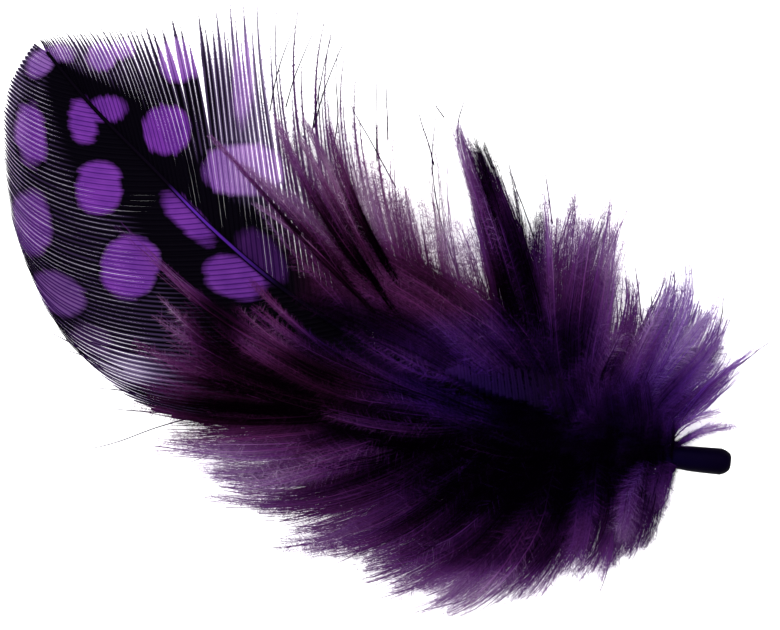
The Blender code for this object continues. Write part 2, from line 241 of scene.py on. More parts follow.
# Vane: barbs of a flat web, hooked together near the shaft and combed apart at the edge. Where a
# value has two parts, the first is for the lower side and the second for the upper side.
vane = {
    "spacing": 0.72,             # between two barbs along the shaft
    "first": (27.0, 17.0),       # station of the first barb
    "last": 81.9,                # station of the last barb
    "steps": 64,
    "reach": (0.38, 0.30),
    "waver": 0.0012,             # how far tips drift from their place, as a share of the barb
    "newBundle": 0.42,           # chance that a barb starts a new bundle
    "lean": (0.12, 0.5),         # how far the barbs of a bundle lean together
    "widestGap": 0.84,           # between two barbs, where the web can still fill it
    "widestWeb": 0.5,            # on one side of a barb
    "hold": (0.92, 0.80),        # share of a barb that holds to the next one
    "filled": ([1.02, 1.0, 0.988, 0.984, 0.976, 0.92, 0.15],      # share of the gap, root to tip
               [1.02, 1.0, 0.97, 0.93, 0.80, 0.44, 0.05]),
    "overlap": 1.03,             # the same where the web is shut
    "combed": 0.34,              # how much narrower the webs are beside the down, upper side
    "loose": 0.50,               # and towards their ends there
    "openCorner": (-62.6, 9.6, 5.6, 4.4),     # where the lower side is open, and how much
    "opened": 0.12,
    "ripple": 0.02,              # in a web's width
    "unevenWebs": 0.015,
    "unevenEnds": 0.015,
    "shortened": (0.0, 0.30, 0.20),      # shares by which barbs of the open upper edge fall short
    "height": 0.30,
    "unevenHeight": 0.03,
    "liftStart": 0.55,
    "edgeLift": 0.35,
    "webDrop": 0.06,             # how far a web's rims hang below its barb
    "combRise": 3.7,             # how far the barbs beside the shaft stand over the down
    "ribWidth": [0.144, 0.112, 0.100, 0.036],
    "slip": 0.08,                # how far each barb's pattern is out of line
    "rimPale": 0.9,              # how much paler the rims of a web are
    "fringe": 0.14,              # between two barbules along a barb
    "barbuleWidth": 0.08,
    "barbuleLength": (0.02, 0.30),
    "darkPatches": [             # centre x and y, reach across and up
        (-59.6, 13.4, 2.6, 0.7), (-59.0, 11.4, 2.8, 0.6),
        (-57.6, 7.2, 3.0, 0.6), (-56.6, 5.8, 2.6, 0.5)],
    "paleCorner": (-61.0, 8.6, 5.0, 3.0),
    "underDye": 0.9,             # how light the dye is on the vane, against the down beside it
    "mapStart": (-74, -2),       # corner and size of the part of the drawing that is mapped
    "mapSize": (66, 52),
}
# station, lower edge x and y, leaving and arriving angle there, and the same for the upper edge
vaneCourse = [
    (8.0, -9.5, -2.5, 235, 235, -8.2, 6.0, 80, 85),
    (20.0, -29.0, -1.5, 212, 200, -20.5, 13.5, 92, 97),
    (27.0, -56.0, 4.6, 200, 170, -28.0, 20.0, 96, 102),
    (33.0, -65.2, 11.4, 196, 130, -36.5, 37.0, 98, 84),
    (40.0, -69.6, 18.0, 192, 116, -40.6, 44.2, 98, 74),
    (48.0, -71.7, 24.0, 189, 106, -47.8, 45.9, 96, 90),
    (55.0, -72.3, 28.0, 188, 108, -52.5, 45.4, 97, 97),
    (60.0, -72.6, 30.8, 186, 114, -58.6, 43.9, 99, 108),
    (66.0, -72.7, 34.0, 180, 122, -62.6, 43.4, 103, 122),
    (72.0, -72.3, 37.3, 174, 132, -65.8, 43.1, 110, 130),
    (77.0, -71.2, 39.6, 166, 138, -68.0, 42.6, 118, 134),
    (81.6, -69.6, 41.8, 152, 142, -69.0, 42.2, 130, 138),
]
# Spots: centre x and y, half length, half width, the turn of the long axis, and how strong each is
spots = [
    (-68.9, 39.9, 1.75, 1.1, 50, 0.9), (-66.9, 40.9, 1.45, 0.9, -12, 0.9), (-62.7, 40.6, 1.5, 1.45, 0, 1.0),
    (-60.9, 41.2, 1.5, 1.0, 15, 1.0), (-55.1, 40.2, 2.1, 2.3, 0, 1.0), (-64.7, 34.0, 2.3, 1.35, 98, 1.0),
    (-62.5, 35.2, 2.1, 1.25, 8, 1.0), (-56.3, 33.2, 2.45, 2.4, 90, 1.0), (-69.9, 32.7, 3.1, 1.5, 96, 0.9),
    (-63.1, 27.4, 2.6, 2.3, 90, 1.0), (-69.8, 23.9, 3.2, 1.9, 95, 0.7), (-54.2, 24.4, 3.2, 1.25, -44, 0.9),
    (-48.6, 29.2, 4.2, 2.6, 0, 0.9), (-60.0, 19.5, 3.1, 2.8, 70, 0.95), (-49.5, 18.4, 3.1, 2.0, -18, 0.8),
    (-46.8, 20.6, 3.2, 1.7, -50, 0.22), (-67.2, 16.8, 2.9, 2.0, -30, 0.5),
    (-63.8, 12.3, 2.2, 1.4, -20, 0.15), (-48.8, 38.0, 4.2, 1.0, 88, 0.8),
]


def spotDepth(x, y):
    # millimetres inside the nearest spot's rim, negative outside, and how strong that spot is
    depth, strength = np.full_like(x, -3.0), np.full_like(x, 1.0)
    for cx, cy, a, b, turn, strong in spots:
        c, s = math.cos(math.radians(turn)), math.sin(math.radians(turn))
        u, v = (x - cx) * c + (y - cy) * s, -(x - cx) * s + (y - cy) * c
        away = (np.abs(u / a) ** 2.3 + np.abs(v / b) ** 2.3) ** (1 / 2.3)
        inside = (1 - away) * min(a, b)
        strength = np.where(inside > depth, strong, strength)
        depth = np.maximum(depth, inside)
    return depth, strength


def soft(x, low, high):
    # nothing below low, one above high, and a smooth change between them
    s = np.clip((x - low) / (high - low), 0, 1)
    return s * s * (3 - 2 * s)


def blob(x, y, place):
    cx, cy, rx, ry = place
    return np.exp(-(((x - cx) / rx) ** 2 + ((y - cy) / ry) ** 2))


def paleness(x, y):
    # the barbs grow paler towards the vane's edges, with dark patches left in the lower corner
    leftEdge = soft(-x, 69.5, 72.6)
    top = 1.3 * soft(y, 36.0, 43.5)
    right = 0.9 * soft(x, -54.0, -47.0) * soft(y, 23.0, 29.0)
    corner = 1.2 * blob(x, y, vane["paleCorner"])
    for patch in vane["darkPatches"]:
        corner = corner * (1 - blob(x, y, patch))
    return np.clip(0.5 * leftEdge + 0.5 * top + right + corner, 0, 1)


def vaneRows(stations):
    known = [row[0] for row in vaneCourse]
    places = np.interp(stations, known, np.arange(len(known)))
    rows = smoothRows([row[1:] for row in vaneCourse], places)
    return rows[:, :4], rows[:, 4:]


def planMap(points, island):
    # the vane seen from above, in the lower or the upper half of its map
    (left, bottom), (wide, high) = vane["mapStart"], vane["mapSize"]
    u = 0.01 + (points[..., 0] - left) / wide * 0.98
    v = 0.01 + (points[..., 1] - bottom) / high * 0.47 + 0.5 * island
    return np.stack([u, v], -1)


def barbCourses(which, stations, rng):
    # the barbs of one side in plan, and each one's straight length
    n, k = len(stations), vane["steps"]
    row = vaneRows(stations)[which]
    root = onShaft(stations)
    long = np.linalg.norm(row[:, :2] - root, axis=1)[:, None]
    drift = np.cumsum(vane["waver"] * rng.standard_normal((n, 2)), axis=0)
    drift = drift - np.linspace(0, 1, n)[:, None] * drift[-1]
    drift = drift + vane["waver"] * rng.standard_normal((n, 2))
    tip = row[:, :2] + drift * long
    bundle = np.cumsum(rng.random(n) < vane["newBundle"])
    members = np.bincount(bundle)[bundle, None]
    middle = np.stack([np.bincount(bundle, tip[:, c])[bundle] for c in (0, 1)], -1) / members
    lean = vane["lean"][which] * np.interp(stations, [20, 32, 54, 62], [0.2, 1, 1, 0.3])
    tip = tip + (middle - tip) * lean[:, None]
    t = np.broadcast_to(np.linspace(0, 1, k), (n, k))
    return arcs(root, row[:, 2], tip, row[:, 3], vane["reach"], t), long


def halfGaps(line, across):
    # half of the way to the next barb, away from the quill and towards it
    step = np.abs((np.diff(line, axis=0) * 0.5 * (across[1:] + across[:-1])).sum(-1))
    step = 0.5 * np.minimum(step, vane["widestGap"])
    return np.concatenate([step, step[-1:]]), np.concatenate([step[:1], step])


def shortfall(which, stations, rng):
    # most barbs of the open upper edge end before the longest ones
    n = len(stations)
    short = vane["unevenEnds"] * rng.random(n)
    if which:
        turns = np.arange(n) % len(vane["shortened"])
        share = np.take(vane["shortened"], turns) + 0.05 * rng.standard_normal(n)
        openEdge = np.interp(stations, [46, 50, 56, 62], [1.0, 0.5, 0.4, 0.1])
        short = short + np.clip(share, 0, 0.5) * openEdge
    return short[:, None]


def cutShort(rows, short):
    # values along the barbs, spread again over what is left of each
    n, k = rows.shape[:2]
    at = np.minimum(np.linspace(0, 1, k) * (1 - short) * (k - 1), k - 1.001)
    return readAt(rows, np.arange(n)[:, None], at)


def webFill(which, stations, line, t, rng):
    # the share of each gap that the web fills, and where the web is the shut, black one at the tip
    n = len(stations)
    x, y = line[..., 0], line[..., 1]
    hold = vane["hold"][which]
    places = [0, 0.10, 0.35, 0.65, hold, 0.5 * hold + 0.5, 1]
    combed = soft(-stations, -52.0, -44.0)[:, None] * soft(t, 0.10, 0.4) * which
    loose = soft(-stations, -48.5, -46.0)[:, None] * soft(t, 0.5, 0.8) * which
    corner = np.clip(1.3 * blob(x, y, vane["openCorner"]), 0, 1) * (1 - which)
    ripple = vane["ripple"] * np.sin(t * rng.uniform(8, 22, (n, 1)) + fullTurn * rng.random((n, 1)))
    fill = np.interp(t, places, vane["filled"][which])
    fill = fill * (1 - vane["combed"] * combed) * (1 - vane["loose"] * loose)
    fill = fill * (1 - vane["opened"] * corner)
    fill = fill * (1 + vane["unevenWebs"] * rng.standard_normal((n, 1)) + ripple)
    blackEnd = soft(stations, 60.0, 68.0)[:, None] * (1 - soft(t, 0.30, 0.62))
    shut = blackEnd
    if not which:
        nearDown = soft(-stations, -50.0, -42.0)[:, None] * (1 - soft(t, 0.90, 0.97)) * (1 - corner)
        besideTip = 0.9 * soft(x, -62.0, -55.0) * soft(-y, -29.0, -23.0)
        shut = np.maximum(np.maximum(shut, nearDown), besideTip)
    return fill + (vane["overlap"] - fill) * shut, blackEnd


def barbHeight(which, stations, long, short, t, rng):
    # the vane lifts a little towards its edge, and beside the down its barbs lie over it
    n = len(stations)
    lift = vane["edgeLift"] * np.maximum(0, t - vane["liftStart"]) / (1 - vane["liftStart"])
    z = vane["height"] + lift + vane["unevenHeight"] * rng.standard_normal((n, 1))
    z = z + vane["unevenHeight"] * np.sin(3 * t + fullTurn * rng.random((n, 1)))
    if which:
        away = t * long * (1 - short)
        over = soft(-stations, -46, -38)[:, None] * soft(away, 0.1, 1.2) * (1 - soft(away, 4.0, 7.5))
        z = z + vane["combRise"] * over
    return z


def vaneMarks(which, points, slip, rib, station, paler=0.0):
    # what the finish reads: spots, paleness, ribs, and how much of the down's dye is there
    x, y = points[..., 0], points[..., 1]
    hue, tone = dyeAt(x, y)
    depth, strong = spotDepth(x, y)
    paler = paler * (1 - strong * soft(depth, -0.4, 0.0))
    if which:
        basal = soft(-station, -48.0, -41.0)
    else:
        basal = soft(-station, -42.0, -32.0) * soft(x, -52.0, -42.0)
    return dict(spot=depth + slip, strong=strong, pale=np.clip(paleness(x, y) + paler, 0, 1.2),
                rib=rib, basal=basal + 0 * x, hue=hue, tone=tone * vane["underDye"])


def threeRows(line, across, z, reaches, rises):
    # rows of points along each barb: towards the quill, on the barb, and away from the quill
    rows = np.empty((*line.shape[:-1], 3, 3))
    for c, (reach, rise) in enumerate(zip(reaches, rises)):
        rows[..., c, :2] = line + across * reach[..., None]
        rows[..., c, 2] = z + rise
    return rows


def addVaneBarbules(piece, which, barbs, edge, gap, sign, rng):
    # needles from a web's rim across the gap to the next barb
    line, stations = barbs["line"], barbs["stations"]
    n, k = line.shape[:2]
    lengths = np.linalg.norm(np.diff(line, axis=1), axis=2).sum(1)
    owner = np.repeat(np.arange(n), (lengths / vane["fringe"]).astype(int))
    at = rng.random(len(owner)) * (k - 1)
    tangent = unit(readAt(barbs["ahead"], owner, at))
    outward = unit(readAt(barbs["across"], owner, at)) * sign
    rim = readAt(edge, owner, at)
    room = 2 * (readAt(gap, owner, at) - rim)
    hold = vane["hold"][which]
    free = soft(at / (k - 1), hold, hold + 0.12)
    length = np.clip(room * rng.uniform(0.3, 1.0, len(owner)), *vane["barbuleLength"])
    length = length * (1 - 0.6 * free)
    start = readAt(line, owner, at) + outward * (rim * 0.9)[:, None]
    slant = tangent * rng.uniform(0.8, 1.5, (len(owner), 1))
    end = start + (outward + slant) * length[:, None]
    height = readAt(barbs["height"], owner, at)
    half = tangent * vane["barbuleWidth"] / 2
    needle = np.empty((len(owner), 3, 3))
    needle[:, 0, :2], needle[:, 1, :2], needle[:, 2, :2] = start - half, start + half, end
    needle[:, :2, 2] = (height - 0.055)[:, None]
    needle[:, 2, 2] = height - 0.07
    order = [1, 0, 2] if (sign > 0) == (which > 0) else [0, 1, 2]
    tri = np.arange(len(owner))[:, None] * 3 + np.array(order)[None]
    piece.add(needle, tri, planMap(needle, 0),
              **vaneMarks(which, needle, barbs["slip"][owner][:, None], 0.0, stations[owner][:, None], 0.2))


def makeVaneSide(name, which, material):
    # which is 0 for the lower side and 1 for the upper side
    side = 2 * which - 1
    rng = np.random.default_rng(11 + side)
    stations = np.arange(vane["first"][which], vane["last"], vane["spacing"])
    n, k = len(stations), vane["steps"]
    t = np.linspace(0, 1, k)
    line, long = barbCourses(which, stations, rng)
    ahead = unit(np.gradient(line, axis=1))
    across = leftOf(ahead) * side
    far, near = halfGaps(line, across)
    short = shortfall(which, stations, rng)
    line, ahead, across, far, near = (cutShort(rows, short) for rows in (line, ahead, across, far, near))
    fill, blackEnd = webFill(which, stations, line, t, rng)
    webFar, webNear = (np.minimum(gap * fill, vane["widestWeb"]) for gap in (far, near))
    z = barbHeight(which, stations, long, short, t, rng)
    slip = vane["slip"] * rng.standard_normal(n)

    piece = Gathered(["spot", "strong", "pale", "rib", "basal", "hue", "tone"])
    each = np.s_[:, None, None]
    tris = stripTris(n, k, 3)
    if which:
        tris = tris[..., ::-1]
    drop = -vane["webDrop"]
    web = threeRows(line, across, z, (-webNear, 0 * webNear, webFar), (drop, 0.0, drop))
    rims = np.array([1.0, 0.0, 1.0]) * (vane["rimPale"] * soft(t, 0.12, 0.4) * (1 - blackEnd))[..., None]
    piece.add(web, tris, planMap(web, 0), **vaneMarks(which, web, slip[each], 0.0, stations[each], rims))
    half = np.interp(t, [0, 0.3, 0.9, 1], vane["ribWidth"]) / 2
    rib = threeRows(line, across, z, (-half, 0 * half, half), (-0.01, 0.06, -0.01))
    piece.add(rib, tris, planMap(rib, 1), **vaneMarks(which, rib, slip[each], 1.0, stations[each]))
    barbs = {"stations": stations, "line": line, "ahead": ahead, "across": across,
             "height": z, "slip": slip}
    addVaneBarbules(piece, which, barbs, webFar, far, 1, rng)
    addVaneBarbules(piece, which, barbs, webNear, near, -1, rng)
    return piece.made(name, material)


# Down: locks of long soft barbs. A lock is its station on the shaft, its tip x and y, its width,
# and the directions in which it leaves the shaft and ends. What a group doesn't say is usual.
usual = {
    "side": 1,
    "strandSpacing": 1.1,
    "rib": 1.1,                  # width of a barb against the usual one
    "barbules": 42,
    "length": 1.1,               # of a barbule
    "widths": [0.28, 0.72, 0.96, 1.0, 0.98, 0.90, 0.72],     # shares of the width, from root to tip
    "pinch": 1.0,                # how far a strand's barbs stand apart
    "uneven": 0.06,              # how unevenly the strands of a lock end
    "ragged": 0.16,              # how unevenly the barbs of a strand end
    "bend": 0.07,                # how far a strand strays from its lock
    "wave": 0.12,
    "crowd": 1.0,                # share of the usual number of barbs
    "bare": 0.06,                # share of a barb that has no barbules
    "aside": 0.0,                # how far beside the shaft the locks are rooted
    "streak": 0.16,              # how much lighter a few barbs are
    "contrast": 1.0,             # between strands
    "hueShift": 0.0,
    "parts": 1,
}
lockGroups = {
    "upperDown": {               # the tufts of the upper side, from the quill to the tall tuft
        "arch": (0.8, 2.2), "tips": (0.6, 2.4), "pinch": 0.75,
        "uneven": 0.13, "bend": 0.12, "bare": 0.10, "rib": 1.35, "barbules": 37, "length": 1.5,
        "wave": 0.16, "crowd": 1.12, "parts": 2, "ragged": 0.30,
        "widths": [0.28, 0.72, 0.96, 1.0, 0.92, 0.72, 0.40],
        "locks": [
            (6.2, 1.0, 3.6, 1.6, 50, 12), (6.6, -0.6, 5.0, 2.2, 62, 34), (7.2, 4.9, 12.6, 0.9, 58, 28),
            (7.4, 2.8, 11.8, 1.2, 62, 36), (8.0, 0.2, 10.4, 3.6, 78, 58),
            (8.6, -0.6, 13.2, 4.2, 84, 74), (9.2, -1.0, 16.8, 4.2, 88, 84),
            (9.8, -3.6, 17.8, 4.2, 92, 84), (10.4, -5.2, 20.2, 3.4, 94, 92),
            (11.2, -6.8, 16.8, 4.4, 96, 92), (12.0, -9.3, 19.8, 1.4, 98, 98),
            (12.6, -9.8, 15.6, 5.0, 100, 104), (13.4, -11.8, 19.8, 5.0, 102, 98),
            (14.2, -11.2, 26.2, 4.0, 100, 72), (15.0, -13.2, 27.0, 5.0, 102, 86),
            (15.8, -15.4, 27.4, 5.4, 102, 94), (16.6, -18.4, 29.0, 1.6, 104, 98),
            (17.2, -17.2, 26.6, 5.4, 104, 96), (18.0, -19.8, 26.4, 5.0, 106, 102),
            (18.6, -22.0, 29.9, 1.6, 106, 104), (14.6, -12.6, 23.0, 5.0, 101, 84),
            (18.8, -22.0, 24.2, 4.2, 107, 108), (17.6, -19.0, 24.0, 3.8, 106, 102),
            (18.3, -20.6, 23.0, 3.6, 107, 106),
        ],
    },
    "tallTuft": {                # the dark, pointed tuft that stands out of the upper side
        "arch": (1.6, 2.8), "tips": (1.6, 2.6), "pinch": 0.8,
        "bare": 0.15, "rib": 1.3, "barbules": 50, "wave": 0.10, "crowd": 1.7,
        "widths": [0.4, 0.8, 1.0, 1.0, 0.95, 0.75, 0.35], "ragged": 0.08,
        "locks": [
            (18.0, -25.3, 31.8, 2.6, 98, 112), (18.4, -24.3, 28.8, 2.8, 98, 112),
            (18.8, -26.0, 33.0, 2.6, 98, 110), (19.2, -26.8, 33.9, 2.4, 98, 107),
            (19.6, -27.3, 34.3, 2.2, 99, 104), (20.0, -26.6, 31.4, 2.8, 101, 107),
            (20.4, -25.8, 28.0, 2.8, 104, 111), (17.6, -23.0, 25.8, 2.6, 98, 112),
            (18.9, -25.5, 30.0, 3.0, 98, 108),
        ],
    },
    "veil": {                    # thin haze between the tall tuft and the vane
        "arch": (0.6, 1.8), "tips": (0.6, 2.0), "strandSpacing": 1.0, "pinch": 1.2,
        "bare": 0.20, "rib": 0.9, "length": 1.4, "wave": 0.50, "crowd": 0.72,
        "locks": [
            (21.8, -28.4, 23.6, 3.0, 116, 104), (21.2, -27.0, 25.4, 2.8, 112, 104),
            (22.8, -29.0, 36.4, 0.9, 118, 92), (23.4, -29.8, 26.6, 5.0, 120, 98),
            (24.4, -31.4, 35.0, 0.9, 122, 112), (25.2, -32.4, 29.4, 5.4, 124, 102),
            (26.4, -34.0, 28.6, 5.0, 128, 96), (27.4, -34.2, 38.4, 0.8, 128, 90),
            (28.4, -36.2, 31.8, 5.0, 130, 100), (29.6, -38.4, 31.0, 4.6, 132, 96),
            (31.0, -39.4, 37.6, 3.0, 130, 92), (32.4, -41.6, 34.4, 3.4, 130, 94),
            (34.0, -43.8, 37.2, 2.6, 128, 86),
        ],
    },
    "lowerDown": {               # the fringe of the lower side
        "side": -1, "arch": (0.8, 2.2), "tips": (0.5, 1.8), "strandSpacing": 2.0, "pinch": 1.2,
        "bend": 0.12, "ragged": 0.24, "rib": 1.3, "barbules": 36, "length": 1.8, "wave": 0.24,
        "crowd": 1.05, "parts": 3,
        "locks": [
            (5.6, -7.0, -2.4, 1.8, 246, 254), (6.2, -8.2, -5.2, 2.6, 246, 252),
            (7.2, -9.8, -8.4, 3.0, 250, 246), (8.2, -11.0, -9.2, 3.6, 252, 246),
            (9.4, -12.4, -10.4, 4.0, 254, 246), (10.6, -12.6, -7.6, 4.4, 256, 250),
            (11.4, -13.3, -13.2, 1.3, 258, 252), (12.6, -15.0, -10.8, 5.2, 258, 244),
            (17.0, -30.8, -13.4, 5.0, 251, 206), (18.8, -35.6, -12.4, 5.4, 246, 198),
            (16.4, -27.0, -11.0, 5.4, 252, 212), (13.8, -17.4, -11.0, 6.4, 262, 242),
            (14.8, -20.4, -11.2, 6.6, 260, 236), (15.6, -23.0, -13.8, 5.4, 258, 228),
            (16.2, -26.4, -13.8, 5.2, 256, 216), (17.0, -32.2, -15.0, 2.2, 252, 194),
            (17.6, -29.4, -15.4, 4.6, 250, 206), (18.2, -29.0, -12.4, 6.4, 248, 212),
            (19.0, -33.6, -12.2, 6.4, 244, 200), (19.8, -38.0, -11.2, 5.8, 240, 194),
            (20.6, -38.4, -9.8, 6.4, 236, 198), (21.4, -42.8, -8.7, 2.6, 232, 188),
            (22.2, -43.0, -7.8, 6.4, 228, 192), (23.2, -46.6, -5.8, 6.6, 222, 188),
            (24.2, -49.8, -4.0, 6.6, 216, 184), (25.4, -53.0, -1.8, 6.6, 210, 178),
            (26.6, -54.6, 0.2, 5.8, 206, 176), (27.8, -58.4, 2.0, 4.6, 202, 178),
            (28.6, -55.2, 3.6, 5.4, 198, 168), (26.0, -47.0, 0.8, 6.4, 204, 184),
            (22.0, -38.0, -3.4, 6.4, 222, 196), (18.0, -28.0, -7.4, 6.4, 244, 214),
        ],
    },
    "fringeUnder": {             # broad, flat barbs below those of the fringe
        "side": -1, "arch": (0.4, 1.0), "tips": (0.15, 0.5), "strandSpacing": 2.0, "pinch": 1.3,
        "bare": 0.30, "rib": 2.8, "barbules": 8, "length": 1.4, "wave": 0.3, "crowd": 0.55,
        "locks": [],
    },
    "tuftUnder": {               # the same below the tufts at the right
        "arch": (0.4, 1.0), "tips": (0.3, 0.9), "strandSpacing": 1.6, "pinch": 1.2,
        "bare": 0.35, "rib": 2.6, "barbules": 8, "length": 1.4, "wave": 0.3, "crowd": 0.6,
        "locks": [],
    },
    "plumMiddle": {              # the reddish barbs that lie across the middle
        "arch": (2.8, 3.6), "tips": (1.0, 1.8), "strandSpacing": 0.9,
        "rib": 0.8, "wave": 0.18,
        "locks": [
            (16.6, -31.0, 18.6, 4.8, 118, 158), (17.4, -34.6, 19.6, 4.8, 120, 160),
            (18.2, -37.6, 20.6, 4.8, 122, 162), (19.0, -40.6, 21.8, 4.6, 124, 162),
            (20.0, -43.6, 22.0, 4.2, 126, 166), (21.0, -44.4, 19.6, 4.6, 130, 172),
            (22.2, -41.4, 17.4, 4.8, 132, 168), (23.6, -44.4, 17.0, 4.2, 136, 164),
            (24.8, -39.6, 15.0, 4.0, 138, 158), (18.6, -35.6, 17.0, 4.8, 122, 164),
            (16.4, -28.4, 17.4, 4.6, 114, 146), (20.6, -38.6, 19.0, 4.8, 126, 168),
            (21.8, -43.0, 23.6, 4.2, 134, 152),
        ],
    },
    "forwardStrands": {          # dark twisted strands that sweep over the vane
        "arch": (1.8, 2.8), "tips": (1.8, 2.8), "strandSpacing": 4.0, "pinch": 0.42,
        "bare": 0.45, "wave": 0.16, "crowd": 1.7,
        "widths": [0.6, 0.45, 0.32, 0.30, 0.36, 0.8, 1.3],
        "toneAlong": ([0.0, 0.3, 0.6, 0.76, 0.88, 1.0], [0.24, 0.10, 0.01, 0.12, 0.44, 0.60]),
        "hueShift": 0.15,
        "locks": [
            (21.4, -42.6, 34.8, 2.2, 146, 118), (22.0, -41.0, 31.4, 1.6, 148, 112),
            (22.6, -43.4, 33.0, 2.2, 146, 120), (23.0, -41.8, 28.8, 1.8, 150, 122),
            (23.6, -44.8, 31.6, 2.6, 146, 124), (24.0, -46.4, 28.8, 2.2, 150, 134),
            (24.8, -52.0, 32.8, 1.4, 146, 133), (25.2, -49.0, 30.0, 2.0, 148, 136),
            (25.6, -47.8, 26.0, 1.2, 150, 150), (24.4, -45.6, 34.8, 2.4, 140, 112),
            (22.6, -44.4, 27.4, 1.8, 150, 136), (21.0, -40.2, 33.8, 2.4, 142, 106),
        ],
    },
    "forwardVeil": {             # the haze around those strands
        "arch": (1.2, 2.2), "tips": (1.4, 2.2), "strandSpacing": 1.4, "pinch": 1.2,
        "bare": 0.20, "rib": 0.9, "barbules": 46, "length": 1.3, "wave": 0.40, "crowd": 0.42,
        "locks": [
            (21.6, -38.2, 30.4, 4.8, 138, 102), (22.2, -40.8, 31.4, 4.8, 144, 108),
            (23.0, -43.2, 31.0, 4.8, 146, 116), (24.0, -45.2, 28.8, 4.8, 148, 126),
            (24.8, -47.4, 27.4, 4.2, 148, 136), (22.8, -41.8, 27.0, 4.8, 148, 122),
        ],
    },
    "forwardLower": {            # the locks that sweep over the lower side of the vane
        "side": -1, "arch": (2.0, 3.2), "tips": (1.2, 2.4), "strandSpacing": 1.2, "pinch": 0.7,
        "bare": 0.12, "barbules": 40, "length": 1.2, "wave": 0.20, "crowd": 1.2,
        "widths": [0.5, 0.7, 0.8, 0.85, 0.9, 0.9, 0.7],
        "locks": [
            (27.0, -59.6, 12.4, 3.0, 190, 150), (27.6, -59.0, 8.8, 3.6, 190, 162),
            (26.2, -57.6, 15.2, 3.2, 188, 142), (28.2, -60.6, 6.2, 2.6, 192, 168),
            (26.8, -55.4, 10.2, 3.2, 190, 156), (25.4, -56.6, 17.4, 2.6, 186, 130),
            (25.0, -55.2, 12.6, 3.2, 186, 146), (24.0, -53.8, 17.2, 2.0, 185, 136),
            (24.6, -52.2, 15.8, 2.8, 186, 136), (23.4, -50.4, 13.6, 3.0, 184, 138),
            (28.4, -48.4, 18.4, 1.6, 180, 136), (26.8, -49.6, 16.4, 2.4, 182, 138),
            (25.0, -47.2, 13.8, 3.2, 180, 140), (22.6, -50.4, 9.8, 4.0, 190, 156),
            (21.6, -47.0, 7.6, 4.4, 192, 162), (29.6, -61.2, 24.0, 0.9, 178, 134),
            (28.8, -58.8, 21.4, 0.9, 180, 132), (20.4, -42.6, 6.4, 4.4, 190, 158),
            (24.2, -51.6, 12.2, 2.0, 186, 140), (25.8, -45.4, 11.0, 3.0, 182, 142),
        ],
    },
    "besideShaft": {             # short barbs along the shaft's lower side
        "side": -1, "arch": (1.8, 2.6), "tips": (1.2, 1.8), "strandSpacing": 1.0, "pinch": 0.8,
        "rib": 0.8, "length": 0.9, "wave": 0.14, "crowd": 0.9,
        "locks": [
            (14.0, -33.6, 7.4, 3.4, 190, 158), (16.0, -36.4, 9.4, 3.2, 186, 150),
            (18.0, -40.0, 11.6, 3.0, 180, 146), (20.0, -43.2, 13.4, 2.8, 178, 142),
            (15.0, -31.4, 4.8, 4.0, 200, 166), (18.6, -38.6, 7.4, 4.0, 194, 156),
            (13.0, -27.0, 5.0, 3.4, 190, 162),
        ],
    },
    "rootFluff": {               # black fluff over the root, below the shaft
        "side": -1, "arch": (2.4, 3.0), "tips": (1.6, 2.2), "strandSpacing": 1.4,
        "bare": 0.0, "rib": 0.7, "barbules": 44, "length": 1.2,
        "aside": -1.5, "streak": 0.0, "contrast": 0.4, "toneAlong": ([0.0, 1.0], [0.02, 0.07]),
        "locks": [
            (6.2, -9.6, 1.6, 1.8, 190, 196), (7.4, -12.4, 0.6, 2.6, 200, 206),
            (8.8, -14.4, 1.4, 2.8, 196, 204), (10.2, -16.4, 1.6, 3.0, 196, 204),
            (11.8, -18.2, 2.2, 3.0, 192, 202), (13.4, -20.0, 2.8, 3.0, 190, 200),
            (15.0, -22.0, 3.4, 3.0, 190, 196), (16.6, -23.6, 4.4, 2.8, 186, 190),
            (18.0, -25.2, 5.2, 2.4, 182, 186),
        ],
    },
    "rootFluffAbove": {          # the same above the shaft
        "arch": (2.2, 2.8), "tips": (1.2, 1.8), "strandSpacing": 1.4,
        "bare": 0.0, "rib": 0.9, "barbules": 34, "length": 1.2, "crowd": 0.9,
        "aside": 1.3, "streak": 0.0, "contrast": 0.4, "toneAlong": ([0.0, 0.5, 1.0], [0.06, 0.15, 0.30]),
        "locks": [
            (6.4, -6.6, 5.6, 2.4, 100, 92), (7.8, -8.6, 6.8, 3.0, 110, 104),
            (9.4, -11.4, 7.4, 3.2, 120, 116), (8.4, -10.6, 10.4, 3.6, 106, 98),
            (10.2, -13.0, 11.2, 3.8, 110, 102), (12.2, -15.4, 11.8, 3.8, 114, 108),
            (11.2, -14.0, 8.4, 3.2, 124, 122), (13.0, -16.6, 8.8, 3.2, 128, 128),
            (14.8, -19.0, 9.2, 3.0, 130, 132), (16.4, -21.4, 9.6, 2.8, 132, 136),
            (9.0, -12.8, 4.8, 2.8, 130, 150), (12.0, -16.8, 5.6, 2.8, 132, 150),
        ],
    },
}
# The two lower layers follow the wider locks above them and stop a little before their tips
under = {
    "widerThan": 3.0,
    "fringeShift": 0.8,
    "tuftShift": -0.4,
    "tuftsFrom": -13.0,          # x from which the tufts have a lower layer
}


def layerUnder(locks, shift, fromX=-100.0):
    return [(station, x + shift, y + shift, width, *directions)
            for station, x, y, width, *directions in locks if width > under["widerThan"] and x > fromX]


